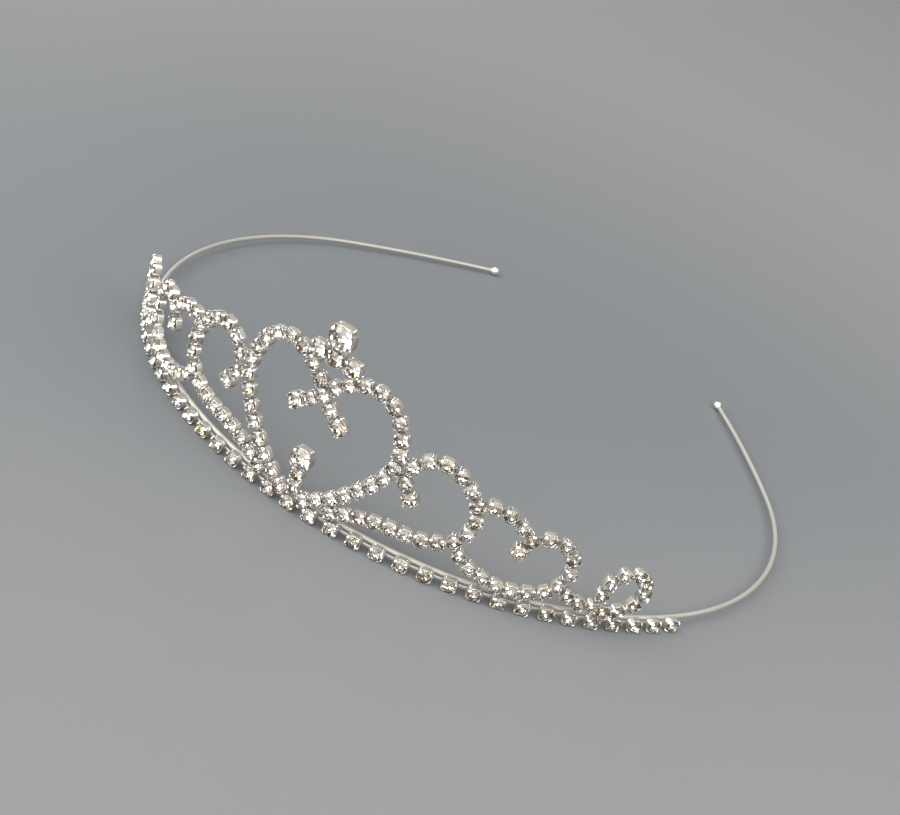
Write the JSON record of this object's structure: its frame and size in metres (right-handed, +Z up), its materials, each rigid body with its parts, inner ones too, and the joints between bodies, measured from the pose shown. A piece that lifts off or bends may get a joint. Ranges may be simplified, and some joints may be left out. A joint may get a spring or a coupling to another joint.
{
  "type": "tiara headband",
  "caption": "Rhinestone tiara on a sprung wire headband, with a lower row of stones, a middle heart with a stem, side scrolls, side hearts, end loops and a crest of larger stones.",
  "frame": {"origin": "on the surface that the tiara rests on, below the middle of its whole outline", "axes": "+Z up from the surface, -Y towards the decorated front, +Y towards the open back, +X towards the right of someone who looks at the front"},
  "size_m": [0.1484, 0.1578, 0.0408],
  "materials": {
    "silver_wire": "bright silver-plated wire, slightly soft reflections",
    "silver_settings": "bright silver-plated stamped cups and link bars",
    "crystal": "faceted clear glass rhinestones with mirrored backs"
  },
  "bodies": {
    "root": {"headband": "silver_wire", "lower_row_chain": "silver_settings", "second_row_chain_left": "silver_settings", "second_row_chain_right": "silver_settings", "heart_chain": "silver_settings", "stem_chain": "silver_settings", "crest_settings": "silver_settings", "scroll_chain_left": "silver_settings", "scroll_chain_right": "silver_settings", "side_heart_chain_left": "silver_settings", "side_heart_chain_right": "silver_settings", "end_loop_chain_left": "silver_settings", "end_loop_chain_right": "silver_settings", "lower_row_stones": "crystal", "second_row_stones_left": "crystal", "second_row_stones_right": "crystal", "heart_stones": "crystal", "stem_stones": "crystal", "scroll_stones_left": "crystal", "scroll_stones_right": "crystal", "side_heart_stones_left": "crystal", "side_heart_stones_right": "crystal", "end_loop_stones_left": "crystal", "end_loop_stones_right": "crystal", "curl_stone_left": "crystal", "curl_stone_right": "crystal", "hook_stone_left": "crystal", "hook_stone_right": "crystal", "side_curl_stone_left": "crystal", "side_curl_stone_right": "crystal", "stem_top_stone": "crystal", "crest_stone_left": "crystal", "crest_stone_middle": "crystal", "crest_stone_right": "crystal", "top_stone": "crystal"}
  },
  "joints": []
}
